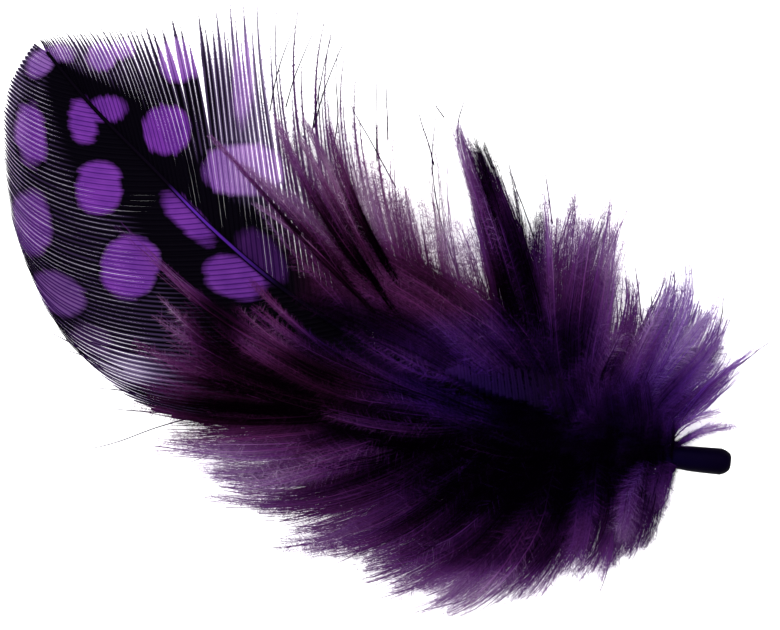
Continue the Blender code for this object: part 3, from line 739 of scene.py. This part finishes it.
lockGroups["tuftUnder"]["locks"] = layerUnder(
    lockGroups["upperDown"]["locks"], under["tuftShift"], under["tuftsFrom"])
lockGroups["fringeUnder"]["locks"] = layerUnder(lockGroups["lowerDown"]["locks"], under["fringeShift"])
down = {
    "reach": (0.42, 0.34),
    "flatness": 0.22,
    "leastThickness": 0.34,
    "heightStep": 0.618,          # spreads the heights of neighbouring locks
    "barbsPerMillimetre": 12,     # of a lock's width
    "rootSpread": 1.3,            # how far a lock's barbs are rooted along the shaft
    "steps": 13,
    "lowest": (0.10, 0.06),       # height of the lowest barb and barbule
    "barbWidth": [0.090, 0.072, 0.072, 0.020],
    "barbuleWidth": 0.031,
    "flick": 0.35,                # how far a barb's tip strays
    "heightWave": 0.15,
    "strandTone": 0.09,           # how unevenly the dye took, by strand, lock and barb
    "lockTone": 0.03,
    "barbTone": 0.05,
    "barbHue": 0.07,
    "streaked": 0.06,             # share of barbs that are lighter
    "rootShade": 0.12,
    # painted light: the ends of the barbs are made lighter, standing in for light shining through the thin
    # ends
    "paintedTipLight": 0.07,
    "fewerWherePale": (1.1, 0.5), # share of barbs in dark places, and how much less in pale ones
}
# Where the dye took: centre x and y, reach across and up, from indigo 0 to plum 1, and from black 0
# to pale 1. Neighbouring places run into each other.
dyePlaces = {
    "black under the shaft": (-25.5, -1.0, 10.0, 3.4, 0.3, -0.04),
    "black by the root": (-14.5, 1.0, 7.0, 4.4, 0.2, -0.02),
    "black in the tall tuft": (-20.8, 19.5, 1.8, 6.0, 0.4, 0.03),
    "dark between tuft and root": (-16.5, 11.5, 4.0, 4.0, 0.3, 0.08),
    "dark upper right": (-16.4, 17.5, 2.6, 3.4, 0.65, 0.32),
    "black by the comb": (-36.0, 3.6, 5.0, 2.0, 0.5, 0.03),
    "indigo along the shaft": (-26.5, 6.8, 7.0, 2.4, 0.0, 0.25),
    "violet above it": (-27.0, 11.2, 7.0, 2.4, 0.25, 0.34),
    "violet towards the vane": (-38.0, 13.6, 4.0, 2.6, 0.35, 0.13),
    "indigo by the quill": (-7.0, 6.4, 3.4, 3.2, 0.15, 0.30),
    "plum in the middle": (-35.0, 17.8, 8.5, 3.0, 0.95, 0.27),
    "brown plum at the lower left": (-45.5, 6.2, 8.0, 3.4, 0.95, 0.10),
    "plum below": (-39.0, -1.6, 9.0, 3.6, 0.72, 0.34),
    "lower fringe": (-22.0, -8.0, 12.0, 2.6, 0.55, 0.23),
    "edge of the fringe": (-25.0, -13.4, 9.0, 2.4, 0.55, 0.66),
    "pale lower fringe": (-38.5, -9.8, 5.0, 2.6, 0.6, 0.60),
    "pale left fringe": (-50.5, -2.0, 6.0, 2.8, 0.5, 0.64),
    "right tufts": (-4.0, 12.8, 4.5, 6.5, 0.30, 0.60),
    "fluff before the right tufts": (-10.4, 13.4, 2.4, 3.2, 0.6, 0.45),
    "upper right tufts": (-14.0, 23.4, 5.0, 4.0, 0.55, 0.56),
    "mauve haze": (-33.0, 27.0, 6.5, 4.4, 0.85, 0.60),
    "lilac before the tall tuft": (-26.4, 23.4, 1.8, 4.0, 0.6, 0.68),
    "tall tuft's pale side": (-27.4, 29.6, 1.2, 4.6, 0.5, 0.50),
    "tall tuft's dark side": (-24.6, 28.0, 1.3, 5.4, 0.45, 0.04),
    "wisps over the quill": (-1.6, 3.8, 2.8, 1.8, 0.35, 0.85),
    "pink by the spots": (-56.6, 11.4, 2.8, 5.4, 0.85, 0.47),
    "dark tuft at the spots": (-51.4, 13.4, 2.0, 2.2, 0.8, 0.0),
    "plum veil over the vane": (-46.2, 14.0, 2.4, 2.8, 0.85, 0.42),
    "lower right": (-9.0, -6.0, 5.0, 4.0, 0.45, 0.33),
    "edge at the lower right": (-10.0, -10.8, 5.0, 2.6, 0.5, 0.70),
    "wisps at the right": (2.6, 11.0, 3.0, 2.4, 0.3, 0.72),
    "violet above the vane": (-43.0, 32.0, 4.0, 5.0, 0.6, 0.45),
}
hair = {
    "steps": 6,                   # between two given points
    "halfWidth": [0.018, 0.055, 0.070],
    "height": (1.0, 0.5),         # lowest, and how much higher some are
    "ridge": 0.03,
    "tones": (0.36, 0.12),        # at the tip and at the root
    "hue": 0.35,
}
# Single hairs that stand out from the edge, each as given points along it, tip first
hairs = [
    [(-65.5, 1.5), (-63.8, 1.4), (-61.0, 2.1), (-57.5, 3.4), (-54.0, 4.4), (-51.0, 5.0)],
    [(-68.8, 13.4), (-66.6, 12.3), (-63.8, 10.8), (-60.6, 9.2)],
    [(-67.4, 11.4), (-64.6, 10.6), (-61.6, 8.6), (-58.4, 7.4)],
    [(-65.8, 12.8), (-63.2, 11.8), (-60.0, 11.0)],
    [(-62.4, 5.4), (-59.0, 5.1), (-53.0, 4.7)],
    [(-64.0, 7.4), (-61.0, 7.2), (-58.0, 6.4)],
    [(-54.0, 0.0), (-52.4, 0.6), (-50.0, 1.8), (-47.0, 2.8)],
    [(-42.8, -8.7), (-40.0, -8.4), (-36.8, -7.5), (-33.4, -6.8)],
    [(-31.8, -15.0), (-29.0, -14.4), (-26.0, -13.5), (-23.4, -11.6), (-21.2, -8.8)],
    [(-13.2, -13.3), (-12.5, -11.4), (-11.8, -8.8), (-11.0, -5.8)],
    [(-34.4, 38.6), (-34.3, 35.2), (-34.2, 32.2)],
    [(-35.3, 39.6), (-35.4, 34.2), (-35.3, 30.0)],
    [(-38.8, 37.8), (-37.6, 35.0), (-36.0, 32.2), (-34.6, 29.6), (-33.4, 27.4)],
    [(-31.4, 36.0), (-30.9, 34.0), (-30.1, 31.6), (-29.6, 29.6)],
    [(-29.2, 36.6), (-29.5, 33.8), (-29.8, 30.4), (-29.4, 26.2), (-28.4, 22.2), (-27.2, 19.0)],
    [(-29.6, 35.8), (-28.6, 34.4)],
    [(-26.2, 37.2), (-26.8, 35.4), (-27.2, 33.8), (-27.2, 31.2)],
    [(-38.0, 43.2), (-39.2, 40.6), (-40.6, 37.0), (-41.6, 33.4)],
    [(-39.6, 43.4), (-40.4, 40.4), (-41.2, 36.4), (-41.8, 32.8)],
    [(-39.2, 41.2), (-39.4, 38.4), (-39.2, 34.6), (-39.6, 31.6)],
    [(-41.0, 44.4), (-42.4, 41.2), (-43.6, 38.2), (-44.4, 35.4)],
    [(-43.2, 44.0), (-44.4, 41.4), (-45.4, 38.2), (-46.0, 35.0)],
    [(-18.6, 29.4), (-18.2, 26.8), (-17.8, 23.8)],
    [(-22.2, 30.2), (-21.6, 27.8), (-20.6, 25.2), (-19.0, 20.6)],
    [(-9.6, 20.0), (-9.2, 17.2), (-8.9, 14.2)],
    [(-8.0, 17.2), (-7.8, 15.2)],
    [(-0.8, 17.4), (-0.8, 15.2), (-1.4, 12.4)],
    [(4.8, 12.6), (3.0, 11.4), (1.0, 9.8), (-1.6, 8.2), (-3.6, 7.0)],
]


def dyeAt(x, y):
    # away from every place the dye is a middling violet
    weight = np.full_like(x, 0.04)
    hue, tone = weight * 0.5, weight * 0.35
    for cx, cy, rx, ry, toPlum, light in dyePlaces.values():
        g = blob(x, y, (cx, cy, rx, ry))
        weight, hue, tone = weight + g, hue + g * toPlum, tone + g * light
    return hue / weight, tone / weight


def mixed(pair, share):
    return pair[0] + (pair[1] - pair[0]) * share


def lockBarbs(lock, level, group, rng, density):
    # points of all the barbs of one lock, and how light each barb's strand is
    station, x, y, width, leaving, arriving = lock
    arch, tipHeight = mixed(group["arch"], level), mixed(group["tips"], level)
    n, k = max(3, int(width * down["barbsPerMillimetre"] * density * group["crowd"])), down["steps"]
    t = np.linspace(0, 1, 60)
    shaftAhead = unit(onShaft(station + 0.3) - onShaft(station - 0.3))
    aside = leftOf(shaftAhead) * group["aside"]
    root, tip = (onShaft(station) + aside)[None], np.array([[x, y]])
    plan = arcs(root, np.array([leaving]), tip, np.array([arriving]), down["reach"], t[None])[0]
    ahead = unit(np.gradient(plan, axis=0))
    across = leftOf(ahead)
    widths = np.interp(t, np.linspace(0, 1, len(group["widths"])), group["widths"]) * width / 2
    height = shaftHeight(station) * (1 - t) + tipHeight * t + arch * 4 * t * (1 - t)
    thick = np.maximum(2 * widths * down["flatness"], down["leastThickness"])

    strands = max(1, round(width / group["strandSpacing"]))
    middles = (np.arange(strands) + 0.5) / strands * 2 - 1 + 0.10 * rng.standard_normal(strands)
    strandEnd = 1 - group["uneven"] * (0.8 * np.abs(middles) + rng.random(strands))
    strandEnd[rng.integers(strands)] = 1.0
    strandTone = down["strandTone"] * rng.standard_normal(strands)
    strandBend = group["bend"] * width * rng.standard_normal(strands)
    which = rng.integers(0, strands, n)
    own, v = rng.uniform(-1, 1, n), rng.uniform(-1, 1, n)
    ends = strandEnd[which] * (1 - group["ragged"] * rng.random(n) ** 2)
    s = np.linspace(0, 1, k)
    at = np.clip(s[None] * ends[:, None], 0, 1)

    def read(rows):
        return np.interp(at, t, rows)

    centre = np.stack([read(plan[:, 0]), read(plan[:, 1])], -1)
    sideways = unit(np.stack([read(across[:, 0]), read(across[:, 1])], -1))
    ownReach = np.interp(at, [0, 0.3, 0.7, 1], [0.2, 0.80, 0.70, 0.50]) * min(1.0, width / 3.0)
    ownReach = ownReach * group["pinch"]
    wave = group["wave"] * np.sin(s * rng.uniform(3, 9, (n, 1)) + rng.uniform(0, fullTurn, (n, 1))) * s
    flick = down["flick"] * group["pinch"] * rng.standard_normal((n, 1)) * soft(s, 0.72, 1.05)
    off = middles[which][:, None] * read(widths) + own[:, None] * ownReach + wave + flick \
        + strandBend[which][:, None] * at**2
    rooted = soft(-at, -0.42, 0.0)[..., None]
    spread = group["side"] * (middles[which] * 0.6 + own * 0.5) * down["rootSpread"]
    shift = (onShaft(station + spread) - onShaft(station))[:, None]
    points = np.empty((n, k, 3))
    points[..., :2] = centre + sideways * off[..., None] * (1 - rooted) + shift * rooted
    lens = np.sqrt(np.clip(1 - middles[which] ** 2, 0.1, 1))
    points[..., 2] = read(height) + (v * lens)[:, None] * read(thick) * 0.55
    swing = np.sin(s * rng.uniform(3, 9, (n, 1)) + rng.uniform(0, fullTurn, (n, 1)))
    points[..., 2] += down["heightWave"] * swing
    points[..., 2] = np.maximum(points[..., 2], down["lowest"][0])
    streak = group["streak"] * (rng.random(n) > 1 - down["streaked"])
    own = down["barbTone"] * rng.standard_normal(n)
    return points, strandTone[which] * group["contrast"] + own + streak


def addBarbs(piece, points, rng, barbTone, group, width):
    # each barb as a narrow ribbon with barbules as needles on both sides
    n, k = points.shape[:2]
    s = np.linspace(0, 1, k)
    ahead = unit(np.gradient(points, axis=1))
    level = unit(np.cross(ahead, np.array([0, 0, 1.0])))
    up = np.cross(level, ahead)
    lean = rng.uniform(-1.0, 1.0, (n, 1, 1))
    face = level * np.cos(lean) + up * np.sin(lean)
    half = group["rib"] * (np.interp(s, [0, 0.1, 0.6, 1], down["barbWidth"]) / 2)[None, :, None]
    rib = np.stack([points - face * half, points + face * half], 2)
    barbHue = group["hueShift"] + down["barbHue"] * rng.standard_normal(n)

    def colours(p, along, paintedShadeAndLight):
        hue, tone = dyeAt(p[..., 0], p[..., 1])
        shape = (n,) + (1,) * (p.ndim - 2)
        if "toneAlong" in group:
            tone = np.interp(along, *group["toneAlong"]) + 0 * tone
        # painted light and shade: barb ends are made lighter, for light shining through them, and roots
        # darker as painted shade, both more so in pale places
        tone = tone + barbTone.reshape(shape) + down["paintedTipLight"] * soft(along, 0.55, 1.0)
        tone = tone + paintedShadeAndLight * (1 + 1.2 * soft(tone, 0.4, 0.65))
        return np.clip(hue + barbHue.reshape(shape), 0.01, 0.97), np.clip(tone, 0.01, 0.99)

    shade = -down["rootShade"] * (1 - 0.75 * soft(s, 0.3, 0.7))[None, :, None]
    hue, tone = colours(rib, np.broadcast_to(s[None, :, None], rib.shape[:3]), shade)
    jitter = np.array([0.0, 0.012])
    piece.add(rib, stripTris(n, k, 2), np.stack([hue + jitter, tone], -1), hue=hue, tone=tone)

    m = group["barbules"] if width > 1.2 else group["barbules"] // 3
    slim = min(1.0, 0.15 + width / 4.0)
    for sign in (-1, 1):
        place = rng.random((n, m)) * (0.98 - group["bare"]) + group["bare"]
        here = np.arange(n)[:, None], place * (k - 1)
        tangent = unit(readAt(ahead, *here))
        roll = rng.uniform(-0.9, 0.9, (n, m, 1))
        outward = (readAt(level, *here) * np.cos(roll) + readAt(up, *here) * np.sin(roll)) * sign
        slant = rng.uniform(0.4, 1.3, (n, m, 1))
        size = group["length"] * slim * np.interp(place, [0, 0.25, 0.75, 1], [0.45, 1.0, 1.0, 0.8])
        size = (size * rng.uniform(0.4, 1.25, (n, m)))[..., None]
        base = readAt(points, *here)
        end = base + (tangent * np.cos(slant) + outward * np.sin(slant)) * size
        end[..., 2] = np.maximum(end[..., 2], down["lowest"][1])
        wide = tangent * down["barbuleWidth"] / 2
        needle = np.stack([base - wide, base + wide, end], 2)
        # painted light: the end of each barbule is a little lighter, for light shining through it
        hue, tone = colours(needle, np.broadcast_to(place[..., None], needle.shape[:3]),
                            np.array([0.0, 0.0, 0.05]))
        jitter = np.array([0.0, 0.012, 0.006])
        tri = np.arange(n * m)[:, None] * 3 + np.array([0, 1, 2])
        piece.add(needle, tri, np.stack([hue + jitter, tone], -1), hue=hue, tone=tone)


def makeDown(name, group, material):
    things = []
    locks = list(enumerate(group["locks"]))
    size = math.ceil(len(locks) / group["parts"])
    for part in range(group["parts"]):
        rng = np.random.default_rng([len(name), part, len(locks)])
        piece = Gathered(["hue", "tone"])
        for number, lock in locks[part * size:(part + 1) * size]:
            level = (number * down["heightStep"]) % 1.0
            haze = dyeAt(np.array([lock[1]]), np.array([lock[2]]))[1][0]
            most, fewer = down["fewerWherePale"]
            thin = most - fewer * soft(haze, 0.6, 0.85)
            points, light = lockBarbs(lock, level, group, rng, thin)
            light = light + down["lockTone"] * rng.standard_normal()
            addBarbs(piece, points, rng, light, group, lock[3])
        things.append(piece.made(f"{name}{part + 1}", material))
    return things


def makeHairs(material):
    rng = np.random.default_rng(8)
    piece = Gathered(["hue", "tone"])
    for picked in hairs:
        k = hair["steps"] * (len(picked) - 1) + 1
        plan = smoothRows(picked, np.linspace(0, len(picked) - 1, k))
        ahead = unit(np.gradient(plan, axis=0))
        across = leftOf(ahead)
        half = np.interp(np.linspace(0, 1, k), [0, 0.4, 1], hair["halfWidth"])
        lowest, higher = hair["height"]
        z = lowest + higher * rng.random() + np.zeros(k)
        ridge = hair["ridge"]
        rows = threeRows(plan, across, z, (-half, 0 * half, half), (-ridge, ridge, -ridge))
        tone = np.broadcast_to(np.linspace(*hair["tones"], k)[:, None], (k, 3))
        hue = hair["hue"] + 0 * tone
        piece.add(rows, stripTris(1, k, 3), np.stack([hue, tone], -1), hue=hue.copy(), tone=tone.copy())
    return piece.made("strayHairs", material)


# Finishes
def dyed(red, green, blue):
    # a screen colour of 0 to 255, as the finish that shows it in the bright room
    values = [v / 255 for v in (red, green, blue)]
    light = [v / 12.92 if v <= 0.04045 else ((v + 0.055) / 1.055) ** 2.4 for v in values]
    return tuple(v / studio["brightness"] for v in light)


class Finish:
    # a procedural finish, and the nodes that its colour is made with
    def __init__(self, name, roughness, gloss):
        self.material = bpy.data.materials.new(name)
        self.material.use_nodes = True
        self.nodes, self.links = self.material.node_tree.nodes, self.material.node_tree.links
        self.shader = self.nodes["Principled BSDF"]
        self.shader.inputs["Roughness"].default_value = roughness
        self.shader.inputs["Specular IOR Level"].default_value = gloss

    def coloured(self, colour):
        self.links.new(colour, self.shader.inputs["Base Color"])
        return self.material

    def marked(self, name):
        node = self.nodes.new("ShaderNodeAttribute")
        node.attribute_name = name
        return node.outputs["Fac"]

    def noise(self, scale):
        node = self.nodes.new("ShaderNodeTexNoise")
        node.inputs["Scale"].default_value = scale
        node.inputs["Detail"].default_value = 3.0
        where = self.nodes.new("ShaderNodeTexCoord")
        self.links.new(where.outputs["Object"], node.inputs["Vector"])
        return node.outputs["Fac"]

    def reckoned(self, kind, *values):
        node = self.nodes.new("ShaderNodeMath")
        node.operation = kind
        self.fed(node.inputs, values)
        return node.outputs[0]

    def ranged(self, source, low, high):
        # low becomes 0 and high becomes 1
        node = self.nodes.new("ShaderNodeMapRange")
        node.inputs["From Min"].default_value = low
        node.inputs["From Max"].default_value = high
        self.links.new(source, node.inputs["Value"])
        return node.outputs["Result"]

    def ramped(self, source, stops):
        ramp = self.nodes.new("ShaderNodeValToRGB")
        while len(ramp.color_ramp.elements) < len(stops):
            ramp.color_ramp.elements.new(0.5)
        for element, (place, colour) in zip(ramp.color_ramp.elements, stops):
            element.position = place
            element.color = (*colour, 1)
        self.links.new(source, ramp.inputs["Fac"])
        return ramp.outputs["Color"]

    def blended(self, factor, first, second, kind="MIX"):
        mix = self.nodes.new("ShaderNodeMix")
        mix.data_type = "RGBA"
        mix.blend_type = kind
        colourA, colourB, result = mix.inputs[6], mix.inputs[7], mix.outputs[2]
        self.fed((mix.inputs["Factor"], colourA, colourB), (factor, first, second))
        return result

    def fed(self, sockets, values):
        # each value is a number, a colour or another node's result
        for socket, value in zip(sockets, values):
            if isinstance(value, (int, float)):
                socket.default_value = value
            elif isinstance(value, tuple):
                socket.default_value = (*value, 1)
            else:
                self.links.new(value, socket)


def quillFinish():
    horn = Finish("dyedHornPaintedSideShade", 0.5, 0.005)
    # painted shade: dark is the colour of the shaft's sides and crown that of its top, mixed by how far the
    # surface faces up, so the sides are painted dark as shade while the top keeps the dyed violet band
    dark = horn.ramped(horn.marked("along"), [
        (0.0, dyed(3, 0, 12)), (0.10, dyed(6, 1, 24)), (0.2, dyed(3, 1, 10)), (1.0, dyed(5, 2, 9))])
    crown = horn.ramped(horn.marked("along"), [
        (0.0, dyed(4, 0, 16)), (0.08, dyed(6, 1, 28)), (0.2, dyed(5, 1, 14)),
        (0.60, dyed(6, 2, 16)), (0.68, dyed(70, 28, 128)), (0.745, dyed(84, 36, 150)),
        (0.78, dyed(8, 3, 14)), (1.0, dyed(5, 2, 9))])
    colour = horn.blended(horn.ranged(horn.marked("crown"), 0.72, 0.95), dark, crown)
    streak = horn.ramped(horn.noise(900), [(0.3, (0.7, 0.7, 0.7)), (0.7, (1, 1, 1))])
    return horn.coloured(horn.blended(0.6, colour, streak, "MULTIPLY"))


# The three dyes as they show on a screen, from black to pale, and the tone at which each colour lies
dyeTones = [0.0, 0.10, 0.25, 0.5, 0.75, 1.0]
dyes = {
    "indigo": [(1, 0, 4), (4, 1, 14), (16, 4, 46), (64, 26, 130), (128, 90, 190), (216, 204, 236)],
    "violet": [(1, 0, 2), (8, 1, 12), (32, 8, 50), (84, 38, 112), (142, 104, 166), (222, 206, 228)],
    "plum": [(2, 0, 2), (12, 2, 10), (44, 12, 38), (95, 38, 92), (148, 108, 148), (224, 210, 224)],
}


def dyeColour(finish):
    hue, tone = finish.marked("hue"), finish.marked("tone")
    indigo, violet, plum = (
        finish.ramped(tone, [(place, dyed(*shown)) for place, shown in zip(dyeTones, colours)])
        for colours in dyes.values())
    lower = finish.blended(finish.ranged(hue, 0.0, 0.4), indigo, violet)
    return finish.blended(finish.ranged(hue, 0.4, 0.9), lower, plum)


def vaneFinish():
    barb = Finish("spottedBarbs", 0.6, 0.01)
    rough = barb.reckoned("MULTIPLY_ADD", barb.noise(1800), 0.25, barb.marked("spot"))
    strong = barb.reckoned("MULTIPLY", barb.ranged(rough, -0.12, 0.42), barb.marked("strong"))
    pale = barb.marked("pale")
    black = barb.ramped(barb.ranged(pale, 0.0, 1.2), [
        (0.33, dyed(3, 1, 7)), (0.80, dyed(62, 48, 80)), (1.0, dyed(146, 130, 164))])
    ground = barb.blended(barb.marked("basal"), black, dyeColour(barb))
    mottle = barb.ramped(barb.noise(500), [(0.3, (0.72, 0.70, 0.80)), (0.65, (1.0, 1.0, 1.0))])
    spot = barb.blended(pale, dyed(108, 49, 146), dyed(184, 144, 206))
    spot = barb.blended(1.0, spot, mottle, "MULTIPLY")
    ribbed = barb.blended(barb.marked("rib"), (1.0, 1.0, 1.0), (0.55, 0.45, 0.66))
    return barb.coloured(barb.blended(strong, ground, barb.blended(1.0, spot, ribbed, "MULTIPLY")))


def downFinish():
    barb = Finish("downDye", 0.7, 0.0)
    patch = barb.ramped(barb.noise(260), [(0.3, (0.75, 0.75, 0.75)), (0.7, (1, 1, 1))])
    return barb.coloured(barb.blended(0.7, dyeColour(barb), patch, "MULTIPLY"))


# Floor, light and camera
def makeStudio():
    bpy.ops.mesh.primitive_plane_add(size=studio["floorSize"])
    floor = bpy.context.object
    floor.name = "paleFloor"
    paper = Finish("palePaper", 0.9, 0.0)
    tint = paper.ramped(paper.noise(4), [(0.3, studio["floorShade"]), (0.7, studio["floorColour"])])
    paper.shader.inputs["Emission Color"].default_value = (1, 1, 1, 1)
    paper.shader.inputs["Emission Strength"].default_value = studio["floorGlow"]
    floor.data.materials.append(paper.coloured(tint))

    world = bpy.data.worlds.new("softRoom")
    world.use_nodes = True
    world.node_tree.nodes["Background"].inputs["Color"].default_value = (1, 1, 1, 1)
    world.node_tree.nodes["Background"].inputs["Strength"].default_value = studio["skyStrength"]
    bpy.context.scene.world = world
    lampData = bpy.data.lights.new("softBox", "AREA")
    lampData.energy = studio["lampPower"]
    lampData.size = studio["lampSize"]
    lamp = bpy.data.objects.new("softBox", lampData)
    lamp.location = studio["lampPlace"]
    aim = np.array(studio["lampPlace"])
    tilt = -math.atan2(aim[1], math.hypot(aim[0], aim[2]))
    lamp.rotation_euler = (tilt, math.atan2(aim[0], aim[2]), 0)
    bpy.context.scene.collection.objects.link(lamp)

    cameraData = bpy.data.cameras.new("fromAbove")
    cameraData.sensor_width = 36.0
    cameraData.lens = 36.0 * studio["cameraHeight"] / (drawing["photoWidth"] * mm)
    camera = bpy.data.objects.new("fromAbove", cameraData)
    centre = laidDown([[*drawing["photoCentre"], 0.0]])[0]
    camera.location = (centre[0], centre[1], studio["cameraHeight"])
    camera.rotation_euler = (0, 0, drawing["turn"])
    bpy.context.scene.collection.objects.link(camera)
    bpy.context.scene.camera = camera
    bpy.context.scene.view_settings.view_transform = "Standard"


makeStudio()
print("studio ready")
quill, barbs, fluff = quillFinish(), vaneFinish(), downFinish()
pieces = [(makeShaft(quill), "quill")]
pieces.append((makeVaneSide("lowerVane", 0, barbs), "vane"))
pieces.append((makeVaneSide("upperVane", 1, barbs), "vane"))
print("vane ready")
for name, group in lockGroups.items():
    for thing in makeDown(name, {**usual, **group}, fluff):
        pieces.append((thing, "down"))
pieces.append((makeHairs(fluff), "down"))
print("down ready")
for thing, slot in pieces:
    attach(thing, "root")
    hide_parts("feather")
